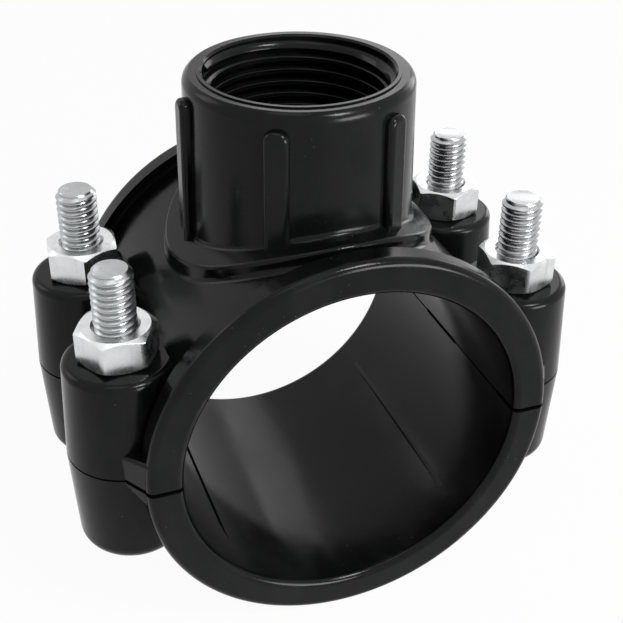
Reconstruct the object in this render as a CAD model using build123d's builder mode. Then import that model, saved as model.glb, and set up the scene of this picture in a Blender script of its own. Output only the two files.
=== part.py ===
"""Tapping saddle for a 50 mm plastic pipe with a 3/4 inch female outlet.

Two moulded half shells close round the pipe and are drawn together by four
M6 bolts, whose heads sit captive in hexagonal pockets under the lower half.
The outlet stands on the crown of the upper half, and a ring seal lies in a
groove round its port. Units are millimetres, +Z is the way the outlet points
and +Y runs along the pipe. The origin is the centre of the pipe bore.
"""

import os
from math import cos, pi, radians, sin, sqrt, tan

from build123d import *

os.makedirs("parts", exist_ok=True)

# Pipe and shells
pipe_radius = 25.0  # outside radius of the 50 mm pipe, and so the bore
shell_wall = 3.2
saddle_length = 49.4  # along the pipe, over both end collars
shell_gap = 0.7  # left open between the two shells, so they can squeeze
bore_rounding = 1.1  # where the bore meets each end face

# End collars
collar_height = 2.0  # above the shell
collar_width = 3.7
collar_rounding = 1.2
collar_step_height = 1.0  # low ring behind each collar
collar_step_width = 1.4

# Bolt bosses
bolt_stand_off = 1.9  # of each bolt's axis from the outside of the shell
bolt_set_back = 12.7  # of each bolt's axis from the near end face
boss_gap = 0.3  # between the upper and lower bosses
boss_top = 15.0
boss_bottom = -16.0
boss_joint_radius = 8.5
boss_top_radius = 7.8
boss_bottom_radius = 7.75
boss_top_rounding = 1.1
boss_bottom_rounding = 2.5
web_rise = (4.2, 5.0)  # of the web above the joint, at its boss and at its collar
web_fall = (1.0, 3.0)  # of the web below the joint, at its boss and at its collar
web_reach = 0.5  # kept clear of the end face
web_leave = 74.0  # degrees round the boss to where the web's face begins
web_edge = 0.6

# Bolts and nuts, M6
bolt_radius = 2.95
bolt_length = 40.0
bolt_hole_clearance = 0.35
bolt_tip_chamfer = 0.6
head_height = 4.0
hex_width = 10.0  # across flats, of head and nut
pocket_depth = 4.5
pocket_clearance = 0.1  # on each flat
nut_height = 5.0
nut_running_clearance = 0.05
nut_countersink = 0.3
hex_chamfer_angle = 30.0
head_turn = 30.0  # degrees, of the bolt heads and their pockets
nut_turns = {"front_left": 48.0, "rear_left": 13.5, "front_right": 33.5, "rear_right": 27.5}

# Outlet
outlet_height = 17.5  # above the crown of its pad
outlet_radius_top = 15.95
outlet_draft = 1.2  # degrees
outlet_shoulder = 1.7
outlet_foot = 0.8  # hollow rounding between the outlet and its pad
thread_radius = 13.2  # root of the 3/4 inch female pipe thread
thread_mouth_chamfer = 0.3
thread_floor_drop = 0.5  # of the outlet's floor below the crown of the pad
rim_width = 0.5
rim_step = 0.2
port_radius = 9.5

# Pad under the outlet
pad_radius = 19.5
pad_height = 1.8  # above the shell
pad_edge = 0.6
pad_root = 0.8

# Ribs on the outlet
rib_count = 6
rib_height = 1.25
rib_width = 3.4
rib_corner = 1.4
rib_edge = 0.75
rib_top_drop = 2.4  # below the rim
rib_draft = 0.8

# Seal in the upper half
seal_radius = 14.0  # mean radius about the outlet axis
seal_width = 3.6
seal_depth = 2.4
seal_side_clearance = 0.2

# Relief grooves in the lower half
relief_angle = 45.0
relief_width = 0.8
relief_depth = 0.6
relief_set_back = 6.7  # of each end of a groove from the end face

# Derived places
shell_radius = pipe_radius + shell_wall
collar_radius = shell_radius + collar_height
step_radius = shell_radius + collar_step_height
half_length = saddle_length / 2
bolt_x = shell_radius + bolt_stand_off
bolt_y = half_length - bolt_set_back
bolt_hole_radius = bolt_radius + bolt_hole_clearance
pocket_floor = boss_bottom + pocket_depth
hex_corner = hex_width / 2 / cos(pi / 6)
nut_top = boss_top + nut_height
pad_crown_radius = shell_radius + pad_height
outlet_top = pad_crown_radius + outlet_height
thread_floor = pad_crown_radius - thread_floor_drop
relief_length = saddle_length - 2 * relief_set_back
root_depth = shell_radius - shell_wall / 2  # how deep what stands on the shell is rooted
corners = {
    "front_left": (-bolt_x, -bolt_y),
    "rear_left": (-bolt_x, bolt_y),
    "front_right": (bolt_x, -bolt_y),
    "rear_right": (bolt_x, bolt_y),
}


def save(piece, name):
    piece.part.label = name
    export_step(piece.part, f"parts/{name}.step")


def shell_blank():
    """The plain tube of both shells, still solid across the bore."""
    with BuildPart() as tube:
        Cylinder(shell_radius, saddle_length - collar_width, rotation=(90, 0, 0))
    return tube.part


def collars():
    """Both end collars with the low step behind each, solid across the bore."""
    y_end = half_length
    y_collar = half_length - collar_width
    y_step = y_collar - collar_step_width
    with BuildPart() as pair:
        with BuildSketch(Plane.XY):
            with BuildLine():
                Polyline(
                    (0, y_end),
                    (collar_radius, y_end),
                    (collar_radius, y_collar),
                    (step_radius, y_collar),
                    (step_radius, y_step),
                    (0, y_step),
                    close=True,
                )
            make_face()
        revolve(axis=Axis.Y)
        rim = pair.edges().filter_by(GeomType.CIRCLE).filter_by(
            lambda e: abs(e.radius - collar_radius) < 1e-4 and abs(e.arc_center.Y - y_end) < 1e-4
        )
        fillet(rim, collar_rounding)
        mirror(about=Plane.XZ)
    return pair.part


def bore_tool():
    """What is cut from the ring for the pipe, flared over both rounded ends."""
    turn = bore_rounding * (1 - sqrt(0.5))
    flare = pipe_radius + bore_rounding
    y_turn = half_length - bore_rounding
    with BuildPart() as tool:
        with BuildSketch(Plane.XY):
            with BuildLine():
                Line((pipe_radius, -y_turn), (pipe_radius, y_turn))
                ThreePointArc(
                    (pipe_radius, y_turn),
                    (pipe_radius + turn, half_length - turn),
                    (flare, half_length),
                )
                Polyline(
                    (flare, half_length),
                    (flare, half_length + 1),
                    (0, half_length + 1),
                    (0, -half_length - 1),
                    (flare, -half_length - 1),
                    (flare, -half_length),
                )
                ThreePointArc(
                    (flare, -half_length),
                    (pipe_radius + turn, turn - half_length),
                    (pipe_radius, -y_turn),
                )
            make_face()
        revolve(axis=Axis.Y)
    return tool.part


def boss(height, end_radius, rounding):
    """One boss, standing on the joint plane and tapering away from it."""
    with BuildPart() as post:
        with BuildSketch(Plane.XZ):
            with BuildLine():
                Polyline(
                    (0, boss_gap / 2),
                    (boss_joint_radius, boss_gap / 2),
                    (end_radius, height),
                    (0, height),
                    close=True,
                )
            make_face()
        revolve(axis=Axis.Z)
        fillet(post.faces().sort_by(Axis.Z)[-1].edges(), rounding)
    return post.part


def web(corner_x, corner_y, way, heights):
    """The web from one boss to the outer corner of its collar, on one side of
    the joint; its edge away from the joint slopes and is rounded."""
    side, end = (1 if corner_x > 0 else -1), (1 if corner_y > 0 else -1)
    leave = radians(web_leave)
    root = boss_joint_radius - 0.2
    start = Vector(corner_x + side * root * cos(leave), corner_y + end * root * sin(leave))
    stop = Vector(side * (collar_radius - web_reach), end * (half_length - web_reach))
    along = stop - start
    tall = 2 * max(heights)
    with BuildPart() as piece:
        with BuildSketch(Plane.XY):
            with BuildLine():
                Polyline(
                    (start.X, start.Y),
                    (stop.X, stop.Y),
                    (side * root_depth, stop.Y),
                    (side * root_depth, corner_y),
                    (corner_x, corner_y),
                    close=True,
                )
            make_face()
        extrude(amount=tall, both=True)
        # keep the part between the joint gap and the sloping edge
        upright = Plane(origin=start, x_dir=along, z_dir=along.cross(Vector(0, 0, 1)))
        lift = (heights[1] - heights[0]) / along.length
        near, far = -saddle_length, saddle_length
        with BuildSketch(upright):
            with BuildLine():
                Polyline(
                    (near, way * shell_gap / 2),
                    (far, way * shell_gap / 2),
                    (far, way * (heights[0] + lift * min(far, along.length))),
                    (along.length, way * heights[1]),
                    (0, way * heights[0]),
                    (near, way * heights[0]),
                    close=True,
                )
            make_face()
        extrude(amount=saddle_length, both=True, mode=Mode.INTERSECT)
        brow = piece.edges().filter_by(
            lambda e: abs((e @ 0 - start).cross(along).Z) < 1e-3
            and abs((e @ 1 - start).cross(along).Z) < 1e-3
            and min(abs((e @ 0).Z), abs((e @ 1).Z)) > shell_gap / 2 + 0.05
        )
        fillet(brow, web_edge)
    return piece.part


def outlet():
    """The outlet as a solid post, from inside the shell up."""
    base = sqrt(root_depth**2 - (outlet_radius_top + rib_height + 0.5) ** 2)
    slope = tan(radians(outlet_draft))
    radius_base = outlet_radius_top + (outlet_top - base) * slope
    with BuildPart() as post:
        with BuildSketch(Plane.XZ):
            with BuildLine():
                Polyline(
                    (0, base),
                    (radius_base, base),
                    (outlet_radius_top, outlet_top),
                    (0, outlet_top),
                    close=True,
                )
            make_face()
        revolve(axis=Axis.Z)
        fillet(post.faces().sort_by(Axis.Z)[-1].edges(), outlet_shoulder)
    return post.part


def ribs():
    """All the ribs, set round the outlet's axis."""
    base = sqrt(root_depth**2 - (outlet_radius_top + rib_height + 0.5) ** 2)
    top = outlet_top - rib_top_drop
    with BuildPart() as crown:
        with PolarLocations(0, rib_count):
            add(rib(base, top, tan(radians(rib_draft))))
    return crown.part


def rib(base, top, slope):
    """One rib with round upper corners, its outer face leaning in with height."""
    face_top = outlet_radius_top + rib_height
    face_base = face_top + (top - base) * slope
    inner = thread_radius + 1.5
    with BuildPart() as bar:
        with BuildSketch(Plane.YZ.offset(inner)) as face:
            with Locations((0, (base + top) / 2)):
                Rectangle(rib_width, top - base)
            fillet(face.vertices().group_by(Axis.Z)[-1], rib_corner)
        extrude(amount=face_base - inner)
        with BuildSketch(Plane.XZ):
            with BuildLine():
                Polyline(
                    (inner, base), (face_base, base), (face_top, top), (inner, top), close=True
                )
            make_face()
        extrude(amount=rib_width, both=True, mode=Mode.INTERSECT)
        outer = bar.faces().sort_by(Axis.X)[-1]
        fillet(
            outer.edges().filter_by(lambda e: e.center().Z > base + 1e-3), rib_edge
        )
    return bar.part


def hexagon(across_flats, turn, low, high):
    """A hexagonal prism between two heights about the Z axis."""
    with BuildPart() as prism:
        with BuildSketch(Plane.XY.offset(low)):
            RegularPolygon(across_flats / 2 / cos(pi / 6), 6, rotation=turn)
        extrude(amount=high - low)
    return prism.part


def turned_hexagon(turn, low, high, chamfer_low, chamfer_high):
    """A hexagon whose corners are turned off at one or both ends."""
    drop = (hex_corner - hex_width / 2) * tan(radians(hex_chamfer_angle))
    with BuildPart() as blank:
        add(hexagon(hex_width, turn, low, high))
        with BuildSketch(Plane.XZ):
            with BuildLine():
                reach = hex_corner + 1
                over = drop + tan(radians(hex_chamfer_angle))
                Polyline(
                    (0, low),
                    (hex_width / 2, low) if chamfer_low else (reach, low),
                    (reach, low + over) if chamfer_low else (reach, (low + high) / 2),
                    (reach, high - over) if chamfer_high else (reach, high),
                    (hex_width / 2, high) if chamfer_high else (reach / 2, high),
                    (0, high),
                    close=True,
                )
            make_face()
        revolve(axis=Axis.Z, mode=Mode.INTERSECT)
    return blank.part


# ---- Upper half shell, with the outlet and the seal groove -----------------
with BuildPart() as upper_saddle:
    add(shell_blank())
    split(bisect_by=Plane.XY.offset(shell_gap / 2), keep=Keep.TOP)

    # the low pad that carries the outlet, crowned like the shell
    with BuildPart(mode=Mode.PRIVATE) as pad:
        Cylinder(
            pad_radius,
            pad_crown_radius,
            align=(Align.CENTER, Align.CENTER, Align.MIN),
        )
        Cylinder(
            pad_crown_radius,
            saddle_length,
            rotation=(90, 0, 0),
            mode=Mode.INTERSECT,
        )
        crown = pad.faces().sort_by(Axis.Z)[-1]
        fillet(crown.edges(), pad_edge)
    add(pad.part)
    root = upper_saddle.edges().filter_by(
        lambda e: abs(sqrt(e.center().X ** 2 + e.center().Z ** 2) - shell_radius) < 1.5
        and all(
            abs(sqrt(p.X**2 + p.Y**2) - pad_radius) < 1e-3
            and abs(sqrt(p.X**2 + p.Z**2) - shell_radius) < 1e-3
            for p in (e @ 0.0, e @ 0.3, e @ 0.7)
        )
    )
    fillet(root, pad_root)
    add(outlet())
    foot = upper_saddle.edges().filter_by(
        lambda e: all(
            abs(sqrt(p.X**2 + p.Z**2) - pad_crown_radius) < 1e-3
            and sqrt(p.X**2 + p.Y**2) < pad_radius - pad_edge - 0.2
            for p in (e @ 0.0, e @ 0.3, e @ 0.7)
        )
    )
    fillet(foot, outlet_foot)
    add(ribs())
    with BuildPart(mode=Mode.PRIVATE) as ends:
        add(collars())
        split(bisect_by=Plane.XY.offset(shell_gap / 2), keep=Keep.TOP)
    add(ends.part)

    for x, y in corners.values():
        with Locations((x, y, 0)):
            add(boss(boss_top, boss_top_radius, boss_top_rounding))
        add(web(x, y, 1, web_rise))

    # pipe bore, bolt holes, outlet bore with its lead-in, port
    add(bore_tool(), mode=Mode.SUBTRACT)
    with Locations(*[(x, y, boss_top / 2) for x, y in corners.values()]):
        Cylinder(bolt_hole_radius, boss_top + 2, mode=Mode.SUBTRACT)
    with BuildSketch(Plane.XZ):
        with BuildLine():
            mouth_radius = thread_radius + thread_mouth_chamfer
            Polyline(
                (0, 0),
                (port_radius, 0),
                (port_radius, thread_floor),
                (thread_radius, thread_floor),
                (thread_radius, outlet_top - thread_mouth_chamfer),
                (mouth_radius, outlet_top),
                (mouth_radius, outlet_top + 1),
                (0, outlet_top + 1),
                close=True,
            )
        make_face()
    revolve(axis=Axis.Z, mode=Mode.SUBTRACT)

    # fine step round the flat of the rim
    with BuildPart(mode=Mode.PRIVATE) as step:
        with Locations((0, 0, outlet_top)):
            Cylinder(outlet_radius_top + 1, 2 * rim_step)
            Cylinder(mouth_radius + rim_width, 2 * rim_step, mode=Mode.SUBTRACT)
    add(step.part, mode=Mode.SUBTRACT)

    # seal groove round the port
    with BuildPart(mode=Mode.PRIVATE) as groove:
        Cylinder(
            seal_radius + seal_width / 2 + seal_side_clearance,
            pad_crown_radius,
            align=(Align.CENTER, Align.CENTER, Align.MIN),
        )
        Cylinder(
            seal_radius - seal_width / 2 - seal_side_clearance,
            pad_crown_radius,
            align=(Align.CENTER, Align.CENTER, Align.MIN),
            mode=Mode.SUBTRACT,
        )
        Cylinder(
            pipe_radius + seal_depth,
            saddle_length,
            rotation=(90, 0, 0),
            mode=Mode.INTERSECT,
        )
    add(groove.part, mode=Mode.SUBTRACT)
save(upper_saddle, "upper_saddle")

# ---- Ring seal in the groove, its inner face flush with the bore -----------
with BuildPart() as seal_ring:
    Cylinder(
        seal_radius + seal_width / 2,
        pad_crown_radius,
        align=(Align.CENTER, Align.CENTER, Align.MIN),
    )
    Cylinder(
        seal_radius - seal_width / 2,
        pad_crown_radius,
        align=(Align.CENTER, Align.CENTER, Align.MIN),
        mode=Mode.SUBTRACT,
    )
    Cylinder(
        pipe_radius + seal_depth,
        saddle_length,
        rotation=(90, 0, 0),
        mode=Mode.INTERSECT,
    )
    Cylinder(pipe_radius, saddle_length, rotation=(90, 0, 0), mode=Mode.SUBTRACT)
save(seal_ring, "seal_ring")

# ---- Lower half shell, with the pockets for the bolt heads -----------------
with BuildPart() as lower_saddle:
    add(shell_blank())
    add(collars())
    split(bisect_by=Plane.XY.offset(-shell_gap / 2), keep=Keep.BOTTOM)

    for x, y in corners.values():
        with Locations(Location((x, y, 0), (180, 0, 0))):
            add(boss(-boss_bottom, boss_bottom_radius, boss_bottom_rounding))
        add(web(x, y, -1, web_fall))

    add(bore_tool(), mode=Mode.SUBTRACT)
    with Locations(*[(x, y, boss_bottom / 2) for x, y in corners.values()]):
        Cylinder(bolt_hole_radius, -boss_bottom + 2, mode=Mode.SUBTRACT)
    pocket = hexagon(hex_width + 2 * pocket_clearance, head_turn, boss_bottom - 1, pocket_floor)
    with Locations(*[(x, y, 0) for x, y in corners.values()]):
        add(pocket, mode=Mode.SUBTRACT)

    # two shallow relief grooves along the bore wall, running out at their ends
    for angle in (-relief_angle, relief_angle - 180):
        across = Plane(origin=(0, 0, 0), x_dir=(0, 1, 0), z_dir=(-sin(radians(angle)), 0, cos(radians(angle))))
        outward = across.y_dir.Z * sin(radians(angle)) + across.y_dir.X * cos(radians(angle))
        way = 1 if outward > 0 else -1
        with BuildSketch(across):
            with BuildLine():
                ThreePointArc(
                    (-relief_length / 2, way * pipe_radius),
                    (0, way * (pipe_radius + relief_depth)),
                    (relief_length / 2, way * pipe_radius),
                )
                Polyline(
                    (relief_length / 2, way * pipe_radius),
                    (relief_length / 2, way * (pipe_radius - 1)),
                    (-relief_length / 2, way * (pipe_radius - 1)),
                    (-relief_length / 2, way * pipe_radius),
                )
            make_face()
        extrude(amount=relief_width / 2, both=True, mode=Mode.SUBTRACT)
save(lower_saddle, "lower_saddle")

# ---- Bolts, pushed up from below, and the nuts that draw them tight --------
for corner, (x, y) in corners.items():
    with BuildPart() as bolt:
        with Locations((x, y, 0)):
            add(turned_hexagon(head_turn, pocket_floor - head_height, pocket_floor, True, False))
        with Locations((x, y, pocket_floor - head_height / 2)):
            Cylinder(
                bolt_radius,
                bolt_length + head_height / 2,
                align=(Align.CENTER, Align.CENTER, Align.MIN),
            )
        chamfer(bolt.faces().sort_by(Axis.Z)[-1].edges(), bolt_tip_chamfer)
    save(bolt, f"bolt_{corner}")

    with BuildPart() as nut:
        with Locations((x, y, 0)):
            add(turned_hexagon(nut_turns[corner], boss_top, nut_top, True, True))
        with Locations((x, y, (boss_top + nut_top) / 2)):
            Cylinder(bolt_radius + nut_running_clearance, nut_height + 2, mode=Mode.SUBTRACT)
        chamfer(
            nut.edges()
            .filter_by(GeomType.CIRCLE)
            .filter_by(lambda e: abs(e.radius - bolt_radius - nut_running_clearance) < 1e-4),
            nut_countersink,
        )
    save(nut, f"nut_{corner}")
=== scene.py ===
import math

import bmesh
import bpy
from mathutils import Matrix, Vector


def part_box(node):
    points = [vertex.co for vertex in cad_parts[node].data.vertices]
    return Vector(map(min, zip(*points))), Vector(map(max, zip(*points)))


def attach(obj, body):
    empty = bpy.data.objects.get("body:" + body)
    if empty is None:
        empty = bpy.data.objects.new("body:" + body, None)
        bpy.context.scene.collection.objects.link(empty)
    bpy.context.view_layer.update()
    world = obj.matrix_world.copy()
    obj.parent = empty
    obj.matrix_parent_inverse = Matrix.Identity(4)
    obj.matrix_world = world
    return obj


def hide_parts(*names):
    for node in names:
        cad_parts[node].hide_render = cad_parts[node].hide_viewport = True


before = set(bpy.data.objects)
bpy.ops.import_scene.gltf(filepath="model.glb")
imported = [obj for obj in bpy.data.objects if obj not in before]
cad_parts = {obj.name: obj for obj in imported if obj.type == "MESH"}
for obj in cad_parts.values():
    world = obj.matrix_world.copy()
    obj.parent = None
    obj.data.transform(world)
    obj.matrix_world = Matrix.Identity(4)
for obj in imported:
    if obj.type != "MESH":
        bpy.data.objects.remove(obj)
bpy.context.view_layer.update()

MM = 0.001

# ---- Half shells -------------------------------------------------------------
# The two halves of the saddle are injection moulded in black polypropylene. They
# come out of the tool satin, with a fine grain, longer flow marks and, after a
# while on the shelf, a few specks of pale dust.


def put(tree, kind, **values):
    """A node of a tree, with its named inputs set or its properties given."""
    node = tree.nodes.new(kind)
    for key, value in values.items():
        if key in node.inputs:
            node.inputs[key].default_value = value
        else:
            setattr(node, key, value)
    return node


def feed(tree, socket, value):
    """Link a socket to an input, or set the input to a plain value."""
    if hasattr(value, "links"):
        tree.links.new(value, socket)
    else:
        socket.default_value = value


def group_of(name, inputs, outputs):
    """A shader node group with named sockets, and its input and output nodes."""
    tree = bpy.data.node_groups.new(name, "ShaderNodeTree")
    for label, kind, value in inputs:
        socket = tree.interface.new_socket(label, in_out="INPUT", socket_type=kind)
        if value is not None:
            socket.default_value = value
    for label, kind in outputs:
        tree.interface.new_socket(label, in_out="OUTPUT", socket_type=kind)
    return tree, tree.nodes.new("NodeGroupInput"), tree.nodes.new("NodeGroupOutput")


def use_group(tree, group, **values):
    """A node that uses a group, with its inputs linked or set."""
    node = tree.nodes.new("ShaderNodeGroup")
    node.node_tree = group
    for key, value in values.items():
        feed(tree, node.inputs[key], value)
    return node


def noise(tree, vector, scale, detail=3.0, rough=0.5, stretch=None):
    """A noise texture on a vector, stretched along the axes if asked."""
    if stretch:
        turn = put(tree, "ShaderNodeMapping")
        turn.inputs["Scale"].default_value = stretch
        tree.links.new(vector, turn.inputs["Vector"])
        vector = turn.outputs["Vector"]
    tex = put(tree, "ShaderNodeTexNoise", Scale=scale, Detail=detail, Roughness=rough)
    tree.links.new(vector, tex.inputs["Vector"])
    return tex.outputs["Fac"]


def ramp(tree, value, low, high, out_low=0.0, out_high=1.0):
    """Map one span of a socket's value onto another, clamped and eased."""
    node = put(tree, "ShaderNodeMapRange", interpolation_type="SMOOTHSTEP")
    spans = {"From Min": low, "From Max": high, "To Min": out_low, "To Max": out_high}
    for key, limit in spans.items():
        node.inputs[key].default_value = limit
    tree.links.new(value, node.inputs["Value"])
    return node.outputs["Result"]


def mixed(tree, factor, a, b):
    """Blend two colours by a factor; each may be a socket or a colour."""
    node = put(tree, "ShaderNodeMix", data_type="RGBA")
    # the colour version's factor and colours are these among the node's inputs
    for socket, value in zip((node.inputs[0], node.inputs[6], node.inputs[7]), (factor, a, b)):
        feed(tree, socket, value)
    return node.outputs[2]


def calc(tree, how, a, b=0.0, c=0.0):
    """One step of arithmetic on sockets or numbers."""
    node = put(tree, "ShaderNodeMath", operation=how)
    for socket, value in zip(node.inputs, (a, b, c)):
        feed(tree, socket, value)
    return node.outputs[0]


# Fine moulding grain with longer flow marks: gives a height and a mottle.
grain_group, grain_in, grain_out = group_of(
    "moulding_grain",
    [("Vector", "NodeSocketVector", None), ("Scale", "NodeSocketFloat", 1.0)],
    [("Height", "NodeSocketFloat"), ("Mottle", "NodeSocketFloat")],
)
scaled = put(grain_group, "ShaderNodeVectorMath", operation="SCALE")
grain_group.links.new(grain_in.outputs["Vector"], scaled.inputs[0])
grain_group.links.new(grain_in.outputs["Scale"], scaled.inputs["Scale"])
fine = noise(grain_group, scaled.outputs[0], 3800.0, 2.0, 0.6)
broad = noise(grain_group, scaled.outputs[0], 160.0, 4.0, 0.55, (1.0, 0.5, 0.6))
height = calc(grain_group, "MULTIPLY_ADD", broad, 0.8, calc(grain_group, "MULTIPLY", fine, 0.2))
grain_group.links.new(height, grain_out.inputs["Height"])
grain_group.links.new(broad, grain_out.inputs["Mottle"])

# Sparse specks of pale dust, gathered in patches.
speck_group, speck_in, speck_out = group_of(
    "dust_specks",
    [("Vector", "NodeSocketVector", None), ("Amount", "NodeSocketFloat", 0.5)],
    [("Mask", "NodeSocketFloat")],
)
cells = put(speck_group, "ShaderNodeTexVoronoi", Scale=900.0, feature="F1")
speck_group.links.new(speck_in.outputs["Vector"], cells.inputs["Vector"])
dots = ramp(speck_group, cells.outputs["Distance"], 0.10, 0.04)
patch = ramp(speck_group, noise(speck_group, speck_in.outputs["Vector"], 140.0, 3.0), 0.50, 0.72)
mask = calc(speck_group, "MULTIPLY", dots, patch)
mask = calc(speck_group, "MULTIPLY", mask, speck_in.outputs["Amount"])
speck_group.links.new(mask, speck_out.inputs["Mask"])


def surface(name):
    """A new material: its tree, its Principled shader and its object coordinates."""
    material = bpy.data.materials.new(name)
    material.use_nodes = True
    tree = material.node_tree
    shader = tree.nodes["Principled BSDF"]
    coords = tree.nodes.new("ShaderNodeTexCoord").outputs["Object"]
    return material, tree, shader, coords


def bumpy(tree, shader, height, strength, distance):
    """Let a height tilt the surface of a shader."""
    bump = put(tree, "ShaderNodeBump", Strength=strength, Distance=distance)
    tree.links.new(height, bump.inputs["Height"])
    tree.links.new(bump.outputs["Normal"], shader.inputs["Normal"])


def moulded(name, colour, dusty, rough, grain):
    """Black moulded plastic, with its own colour, dust, roughness and grain."""
    material, tree, shader, coords = surface(name)
    marks = use_group(tree, grain_group, Vector=coords, Scale=1.0)
    specks = use_group(tree, speck_group, Vector=coords, Amount=0.35)
    mottle = marks.outputs["Mottle"]
    tint = mixed(tree, ramp(tree, mottle, 0.35, 0.7), colour, dusty)
    tint = mixed(tree, specks.outputs["Mask"], tint, (0.25, 0.25, 0.24, 1.0))
    feed(tree, shader.inputs["Base Color"], tint)
    feed(tree, shader.inputs["Roughness"], ramp(tree, mottle, 0.3, 0.75, rough - 0.05, rough + 0.07))
    bumpy(tree, shader, marks.outputs["Height"], 0.35, grain)
    shader.inputs["Specular IOR Level"].default_value = 0.14
    return material


def dress(node_name, material):
    """Give a CAD node its one material."""
    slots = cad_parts[node_name].data.materials
    slots.clear()
    slots.append(material)


shell_plastic = moulded(
    "black_polypropylene",
    colour=(0.0034, 0.0036, 0.0037, 1.0),
    dusty=(0.0062, 0.0064, 0.0064, 1.0),
    rough=0.18,
    grain=0.08 * MM,
)
dress("upper_saddle", shell_plastic)
dress("lower_saddle", shell_plastic)

# ---- Outlet thread -----------------------------------------------------------
# Three-quarter inch female pipe thread moulded inside the outlet, 14 turns to
# the inch. The ridge runs in from the mouth and dies away above the port.
OUTLET_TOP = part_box("upper_saddle")[1].z
OUTLET_PITCH = 25.4 / 14 * MM
OUTLET_ROOT = 13.2 * MM
OUTLET_CREST = 12.06 * MM
OUTLET_TURNS = 7.6
RIDGE_DROP = 1.1 * MM  # of the ridge's start below the rim
RIDGE_BEGINS = math.radians(150)  # round the bore, where the ridge starts
RIDGE_FOOT = 0.66 * MM  # half the ridge's width at the wall
RIDGE_CREST = 0.31 * MM  # half its width at the crest
RIDGE_SUNK = 0.15 * MM  # of the ridge's back into the wall, so no gap shows
RIDGE_FADE = 0.8  # below 1, the ridge rises soon and then levels off


def set_radius(point, radius):
    """Move a point to another distance from the Z axis."""
    share = radius / math.hypot(point.x, point.y)
    point.x *= share
    point.y *= share


def smooth_faces(obj, degrees):
    """Shade a mesh smooth, but for the edges sharper than an angle."""
    obj.data.shade_smooth()
    obj.data.set_sharp_from_angle(angle=math.radians(degrees))


def mesh_object(name, bm, material, degrees):
    """Finish a bmesh as an object at the origin, smooth but for its sharp edges."""
    bmesh.ops.recalc_face_normals(bm, faces=bm.faces)
    mesh = bpy.data.meshes.new(name)
    bm.to_mesh(mesh)
    bm.free()
    obj = bpy.data.objects.new(name, mesh)
    bpy.context.scene.collection.objects.link(obj)
    mesh.materials.append(material)
    smooth_faces(obj, degrees)
    return obj


def ridge_section():
    """Half of the ridge's outline from its foot to its crest, as (radius, half width)."""
    return [
        (OUTLET_ROOT + RIDGE_SUNK, RIDGE_FOOT),
        (OUTLET_ROOT - 0.08 * MM, RIDGE_FOOT * 0.95),
        (OUTLET_CREST + 0.08 * MM, RIDGE_CREST + 0.05 * MM),
        (OUTLET_CREST, RIDGE_CREST - 0.04 * MM),
    ]


def outlet_thread(steps=72):
    """A closed ridge wound down the bore, its section shrinking at both ends."""
    start = OUTLET_TOP - RIDGE_DROP
    half = ridge_section()
    outline = [*half, *((r, -z) for r, z in reversed(half))]
    bm = bmesh.new()
    face = bm.faces.new([bm.verts.new((r, 0.0, start + z)) for r, z in outline])
    bmesh.ops.spin(
        bm,
        geom=[face, *face.edges, *face.verts],
        cent=(0, 0, 0),
        axis=(0, 0, 1),
        dvec=(0, 0, -OUTLET_PITCH / steps),
        angle=-2 * math.pi * OUTLET_TURNS,
        steps=int(OUTLET_TURNS * steps),
        use_duplicate=False,
    )
    # both ends sink into the wall over one turn
    wall = OUTLET_ROOT + 0.05 * MM
    for v in bm.verts:
        along = (start - v.co.z) / OUTLET_PITCH
        fade_in = min(1.0, max(0.0, along + 0.25))
        fade_out = min(1.0, max(0.0, OUTLET_TURNS + 0.25 - along))
        keep = min(fade_in, fade_out) ** RIDGE_FADE
        r = math.hypot(v.co.x, v.co.y)
        if r < OUTLET_ROOT:
            set_radius(v.co, wall - (wall - r) * keep)
    bm.transform(Matrix.Rotation(RIDGE_BEGINS, 4, "Z"))
    return mesh_object("outlet_thread", bm, shell_plastic, 40.0)


ridge = outlet_thread()
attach(ridge, "upper")

# ---- Ring seal ---------------------------------------------------------------
# A moulded nitrile ring pressed into the groove round the port. Its face is
# matt and slightly mottled with talc.
seal_rubber, tree, shader, coords = surface("nitrile_rubber")
talc = noise(tree, coords, 300.0, 4.0)
black, grey = (0.011, 0.011, 0.011, 1.0), (0.024, 0.024, 0.023, 1.0)
feed(tree, shader.inputs["Base Color"], mixed(tree, ramp(tree, talc, 0.35, 0.75), black, grey))
feed(tree, shader.inputs["Roughness"], ramp(tree, talc, 0.3, 0.8, 0.55, 0.75))
bumpy(tree, shader, noise(tree, coords, 2600.0, 2.0), 0.3, 0.1 * MM)
shader.inputs["Specular IOR Level"].default_value = 0.35
dress("seal_ring", seal_rubber)

# ---- Bolts -------------------------------------------------------------------
# M6 hexagon bolts of zinc-plated steel, with the thread rolled on the upper part
# of the shank. Each is pushed up from below, so that its head sits in the pocket.
zinc_group, zinc_in, zinc_out = group_of(
    "zinc_plating",
    [
        ("Vector", "NodeSocketVector", None),
        ("Dirt", "NodeSocketFloat", 0.5),
        ("Tone", "NodeSocketFloat", 1.0),
    ],
    [
        ("Colour", "NodeSocketColor"),
        ("Roughness", "NodeSocketFloat"),
        ("Height", "NodeSocketFloat"),
    ],
)
cloud = noise(zinc_group, zinc_in.outputs["Vector"], 420.0, 4.0, 0.6)
streak = noise(zinc_group, zinc_in.outputs["Vector"], 900.0, 3.0, 0.6, (1.0, 1.0, 0.12))
clouded = ramp(zinc_group, cloud, 0.3, 0.72)
bright = mixed(zinc_group, clouded, (0.66, 0.68, 0.69, 1.0), (0.78, 0.79, 0.79, 1.0))
plating = mixed(zinc_group, zinc_in.outputs["Tone"], (0.27, 0.28, 0.29, 1.0), bright)
stain = ramp(zinc_group, streak, 0.56, 0.74)
stain = calc(zinc_group, "MULTIPLY", stain, zinc_in.outputs["Dirt"])
stained = mixed(zinc_group, stain, plating, (0.33, 0.33, 0.32, 1.0))
feed(zinc_group, zinc_out.inputs["Colour"], stained)
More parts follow.
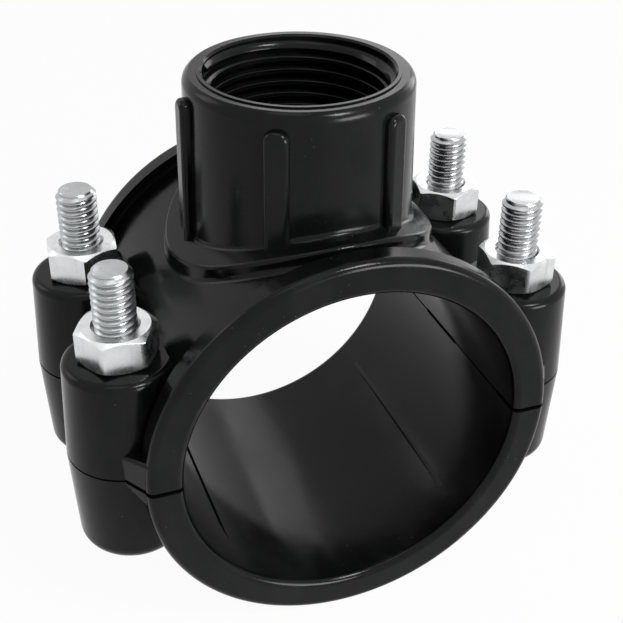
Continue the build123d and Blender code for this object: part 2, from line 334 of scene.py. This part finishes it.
feed(zinc_group, zinc_out.inputs["Roughness"], ramp(zinc_group, cloud, 0.3, 0.75, 0.22, 0.36))
feed(zinc_group, zinc_out.inputs["Height"], calc(zinc_group, "MULTIPLY_ADD", streak, 0.6, cloud))


def plated(name, dirt, tone):
    """Zinc-plated steel with its own amount of staining and brightness."""
    material, tree, shader, coords = surface(name)
    zinc = use_group(tree, zinc_group, Vector=coords, Dirt=dirt, Tone=tone)
    feed(tree, shader.inputs["Base Color"], zinc.outputs["Colour"])
    feed(tree, shader.inputs["Roughness"], zinc.outputs["Roughness"])
    bumpy(tree, shader, zinc.outputs["Height"], 0.2, 0.03 * MM)
    shader.inputs["Metallic"].default_value = 1.0
    return material


bolt_zinc = plated("bolt_zinc", dirt=0.6, tone=0.35)

# the M6 thread and hexagon
PITCH = 1.0 * MM
MAJOR = 2.95 * MM
MINOR = 2.42 * MM
HALF_FLATS = 5.0 * MM
BLUNT_CORNER = 5.68 * MM  # from the axis to a corner that the tumbling rubbed round
WASHER_FACE = 4.72 * MM
CHAMFER_SLOPE = math.tan(math.radians(30))
EDGE_BREAK = 0.06 * MM  # height of the small bevel round each end of the hexagon
EDGE_INSET = 0.04 * MM

# the bolt
HEAD_BOTTOM, TIP = (corner.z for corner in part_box("bolt_front_left"))
HEAD_TOP = HEAD_BOTTOM + 4.0 * MM
HEAD_TURN = math.radians(30)
HEAD_MARK = 2.2 * MM  # radius of the shallow dish in the underside of the head
THREAD_START = 5.0 * MM
RUN_OUT = 1.2 * PITCH  # over which the thread fades into the shank
TIP_RADIUS = 2.32 * MM


def hex_radius(angle, half_flats, blunt):
    """Distance from the axis to a hexagon with a corner at angle 0, rubbed blunt."""
    turned = angle % (math.pi / 3) - math.pi / 6
    return min(half_flats / math.cos(turned), blunt)


def chamfer_drop(radius, chamfered):
    """How far a chamfered face has fallen at a distance from the axis."""
    return max(0.0, radius - WASHER_FACE) * CHAMFER_SLOPE if chamfered else 0.0


def grow(bm, edges):
    """Extrude a loop of edges and give back the new edges and their points."""
    new = bmesh.ops.extrude_edge_only(bm, edges=edges)["geom"]
    return (
        [e for e in new if isinstance(e, bmesh.types.BMEdge)],
        [v for v in new if isinstance(v, bmesh.types.BMVert)],
    )


def turned_hexagon(bm, x, y, turn, low, high, bores, chamfers, sides=96):
    """A hexagon whose corners are turned off, open at its two bores.

    Bores and chamfers are given with the lower end first, and so are the edge
    loops of the two openings that it gives back.
    """

    def even(value):
        return lambda _: value

    def flats(inset, blunt):
        return lambda angle: hex_radius(angle - turn, HALF_FLATS - inset, blunt)

    def end(level, inward, chamfered):
        return lambda radius: level + inward * chamfer_drop(radius, chamfered)

    broken, full = flats(EDGE_INSET, BLUNT_CORNER), flats(0.0, BLUNT_CORNER + 0.05 * MM)
    loops = [
        (even(WASHER_FACE), even(low)),
        (broken, end(low, 1, chamfers[0])),
        (full, end(low + EDGE_BREAK, 1, chamfers[0])),
        (full, end(high - EDGE_BREAK, -1, chamfers[1])),
        (broken, end(high, -1, chamfers[1])),
        (even(WASHER_FACE), even(high)),
        (even(bores[1]), even(high)),
    ]
    circle = bmesh.ops.create_circle(
        bm, cap_ends=False, segments=sides, radius=bores[0], matrix=Matrix.Translation((x, y, low))
    )["verts"]
    first = list(dict.fromkeys(e for v in circle for e in v.link_edges))
    edges = first
    for radius_at, height_at in loops:
        edges, points = grow(bm, edges)
        for v in points:
            angle = math.atan2(v.co.y - y, v.co.x - x)
            r = radius_at(angle)
            v.co = Vector((x + r * math.cos(angle), y + r * math.sin(angle), height_at(r)))
    return first, edges


def stepped_in(bm, edges, share, height, x=0.0, y=0.0):
    """Extrude a loop to a share of its radius about x, y, and to a height."""
    edges, points = grow(bm, edges)
    for v in points:
        v.co = Vector((x + (v.co.x - x) * share, y + (v.co.y - y) * share, height))
    return edges


def thread_profile(bm, start):
    """One pitch of rolled thread as a chain of edges, from root to root."""
    root, crest, ease = 0.12, 0.09, 0.06  # shares of the pitch
    rise = [
        (0.0, MINOR),
        (root, MINOR + 0.05 * MM),
        (0.5 - crest - ease, MAJOR - 0.08 * MM),
        (0.5 - crest, MAJOR),
    ]
    shape = [*rise, *((1.0 - share, r) for share, r in reversed(rise))]
    points = [bm.verts.new((r, 0.0, start + share * PITCH)) for share, r in shape]
    return [bm.edges.new(pair) for pair in zip(points, points[1:])], points


def threaded_rod(bm, low, high, steps=40):
    """A wound thread between two heights about the Z axis, open at both ends."""
    turns = math.ceil((high - low) / PITCH) + 2  # enough to cut back at both ends
    edges, points = thread_profile(bm, low - 1.5 * PITCH)
    bmesh.ops.spin(
        bm,
        geom=edges + points,
        cent=(0, 0, 0),
        axis=(0, 0, 1),
        dvec=(0, 0, PITCH / steps),
        angle=2 * math.pi * turns,
        steps=turns * steps,
        use_duplicate=False,
    )
    bmesh.ops.remove_doubles(bm, verts=bm.verts, dist=0.004 * MM)
    for height, side in ((low, -1), (high, 1)):
        bmesh.ops.bisect_plane(
            bm,
            geom=[*bm.verts, *bm.edges, *bm.faces],
            plane_co=(0, 0, height),
            plane_no=(0, 0, side),
            clear_outer=True,
        )


def shank(bm):
    """The wound thread with its chamfered, dished tip, and the plain shank below."""
    threaded_rod(bm, THREAD_START, TIP)
    # the tip is cut back to a blunt cone, and the thread runs out at the shank
    for v in bm.verts:
        cone = TIP_RADIUS + (TIP - v.co.z)
        if math.hypot(v.co.x, v.co.y) > cone:
            set_radius(v.co, cone)
        fade = min(1.0, max(0.0, (v.co.z - THREAD_START) / RUN_OUT))
        set_radius(v.co, MAJOR + (math.hypot(v.co.x, v.co.y) - MAJOR) * fade)
    middle = (TIP + THREAD_START) / 2
    rims = [e for e in bm.edges if e.is_boundary]
    top = [e for e in rims if e.verts[0].co.z > middle]
    bottom = [e for e in rims if e.verts[0].co.z < middle]
    face = stepped_in(bm, top, 0.93, TIP)
    dish = stepped_in(bm, face, 0.9, TIP - 0.06 * MM)
    bmesh.ops.edgeloop_fill(bm, edges=dish)
    return stepped_in(bm, bottom, 1.0, HEAD_TOP)


def bolt(corner, x, y):
    """One bolt: its shank, and a head with a shallow dish in the underside."""
    bm = bmesh.new()
    foot = shank(bm)
    bm.transform(Matrix.Translation((x, y, 0.0)))
    under, neck = turned_hexagon(
        bm, x, y, HEAD_TURN, HEAD_BOTTOM, HEAD_TOP, (HEAD_MARK, MAJOR), (True, False)
    )
    bmesh.ops.bridge_loops(bm, edges=foot + neck)
    dish = stepped_in(bm, under, 0.8, HEAD_BOTTOM + 0.25 * MM, x, y)
    bmesh.ops.edgeloop_fill(bm, edges=dish)
    made = mesh_object(f"hex_bolt_{corner}", bm, bolt_zinc, 28.0)
    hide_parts(f"bolt_{corner}")
    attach(made, "lower")


places = {}
for corner in ("front_left", "front_right", "rear_left", "rear_right"):
    low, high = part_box(f"bolt_{corner}")
    places[corner] = ((low.x + high.x) / 2, (low.y + high.y) / 2)
    bolt(corner, *places[corner])

# ---- Nuts --------------------------------------------------------------------
# M6 hexagon nuts in the same plating, turned to a chamfer on both faces. Each is
# screwed down on its boss and stopped at a different angle.
NUT_LOW, NUT_HIGH = (corner.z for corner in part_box("nut_front_left"))
NUT_BORE = 3.0 * MM
NUT_SINK = 0.35 * MM  # depth and width of the countersink at each end
NUT_TURNS = {"front_left": 58.9, "rear_left": 23.9, "front_right": 21.6, "rear_right": 20.2}

nut_zinc = plated("nut_zinc", dirt=0.3, tone=0.9)


def nut(corner, x, y):
    """One nut with a countersunk bore, which the bolt's thread fills."""
    bm = bmesh.new()
    mouth = NUT_BORE + NUT_SINK
    bottom, top = turned_hexagon(
        bm, x, y, math.radians(NUT_TURNS[corner]), NUT_LOW, NUT_HIGH, (mouth, mouth), (True, True)
    )
    bore_bottom = stepped_in(bm, bottom, NUT_BORE / mouth, NUT_LOW + NUT_SINK, x, y)
    bore_top = stepped_in(bm, top, NUT_BORE / mouth, NUT_HIGH - NUT_SINK, x, y)
    bmesh.ops.bridge_loops(bm, edges=bore_bottom + bore_top)
    made = mesh_object(f"hex_nut_{corner}", bm, nut_zinc, 22.0)
    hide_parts(f"nut_{corner}")
    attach(made, f"nut_{corner}")


for corner, place in places.items():
    nut(corner, *place)

# ---- Table, light and camera -------------------------------------------------
# The saddle stands on its lower collars on a white table with a white wall far
# behind, under a soft lamp low on the right and weaker ones behind and above.
TABLE_HALF = 1.6  # metres, from its middle to its edge


def white_in_view(tree, plain, white, share, out):
    """Show a white shader to the camera and in reflections, and a plain one to other rays."""
    path = tree.nodes.new("ShaderNodeLightPath")
    seen = calc(tree, "MAXIMUM", path.outputs["Is Camera Ray"], path.outputs["Is Transmission Ray"])
    seen = calc(tree, "MAXIMUM", seen, path.outputs["Is Glossy Ray"])
    mix = tree.nodes.new("ShaderNodeMixShader")
    tree.links.new(calc(tree, "MULTIPLY", seen, share), mix.inputs[0])
    tree.links.new(plain.outputs[0], mix.inputs[1])
    tree.links.new(white.outputs[0], mix.inputs[2])
    tree.links.new(mix.outputs[0], out.inputs["Surface"])


def studio_white(name, own, shown):
    """White that keeps the object's shadow but fills the frame evenly."""
    material = bpy.data.materials.new(name)
    material.use_nodes = True
    tree = material.node_tree
    tree.nodes.clear()
    out = tree.nodes.new("ShaderNodeOutputMaterial")
    body = put(tree, "ShaderNodeBsdfDiffuse", Color=(own, own, own, 1.0))
    glow = put(tree, "ShaderNodeEmission", Color=(1.0, 1.0, 1.0, 1.0), Strength=1.0)
    white_in_view(tree, body, glow, shown, out)
    return material


table_bm = bmesh.new()
table_top = Matrix.Translation((0, 0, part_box("lower_saddle")[0].z))
bmesh.ops.create_grid(table_bm, x_segments=1, y_segments=1, size=TABLE_HALF, matrix=table_top)
table = mesh_object("table", table_bm, studio_white("table_white", 0.85, 0.95), 30.0)

world = bpy.data.worlds.new("studio")
bpy.context.scene.world = world
world.use_nodes = True
tree = world.node_tree
tree.nodes.clear()
out = tree.nodes.new("ShaderNodeOutputWorld")
dim = put(tree, "ShaderNodeBackground", Color=(1.0, 1.0, 1.0, 1.0), Strength=0.15)
white = put(tree, "ShaderNodeBackground", Color=(1.0, 1.0, 1.0, 1.0), Strength=1.0)
white_in_view(tree, dim, white, 1.0, out)


def softbox(name, place, size, power, aim=(0, 0, 0.01)):
    """A rectangular area light turned to face a point."""
    light = bpy.data.lights.new(name, "AREA")
    light.shape = "RECTANGLE"
    light.size, light.size_y = size
    light.energy = power
    lamp = bpy.data.objects.new(name, light)
    bpy.context.scene.collection.objects.link(lamp)
    lamp.location = place
    lamp.rotation_mode = "QUATERNION"
    lamp.rotation_quaternion = (Vector(aim) - Vector(place)).to_track_quat("-Z", "Y")


softbox("key_right", (0.35, -0.60, 0.10), (0.34, 0.26), 4.2)
softbox("key_above", (0.21, -0.37, 0.54), (0.15, 0.15), 2.4)
softbox("edge_right", (0.59, 0.36, 0.12), (0.20, 0.34), 0.6)
softbox("edge_back", (0.30, 0.52, 0.35), (0.30, 0.24), 0.4)
softbox("edge_left", (-0.48, 0.37, 0.35), (0.24, 0.30), 0.4)
softbox("overhead", (-0.10, -0.10, 0.68), (0.28, 0.28), 0.3, aim=(0, 0, 0))

AZIMUTH, ELEVATION, ROLL = math.radians(20.797), math.radians(32.723), math.radians(0.612)
TARGET = Vector((2.186, 0.0, 7.658)) * MM
DISTANCE = 175.907 * MM
LENS = 65.578  # millimetres, on a frame 36 mm wide
ahead = Vector((
    math.sin(AZIMUTH) * math.cos(ELEVATION),
    math.cos(AZIMUTH) * math.cos(ELEVATION),
    -math.sin(ELEVATION),
))
level = Vector((math.cos(AZIMUTH), -math.sin(AZIMUTH), 0.0))
upright = level.cross(ahead)
side = math.cos(ROLL) * level + math.sin(ROLL) * upright
top = -math.sin(ROLL) * level + math.cos(ROLL) * upright
camera_data = bpy.data.cameras.new("camera")
camera_data.lens = LENS
camera_data.sensor_width = 36.0
camera_data.clip_start, camera_data.clip_end = 0.01, 10.0
camera = bpy.data.objects.new("camera", camera_data)
bpy.context.scene.collection.objects.link(camera)
camera.matrix_world = Matrix((
    (side.x, top.x, -ahead.x, 0.0),
    (side.y, top.y, -ahead.y, 0.0),
    (side.z, top.z, -ahead.z, 0.0),
    (0.0, 0.0, 0.0, 1.0),
))
camera.location = TARGET - ahead * DISTANCE
bpy.context.scene.camera = camera
bpy.context.scene.view_settings.view_transform = "Standard"
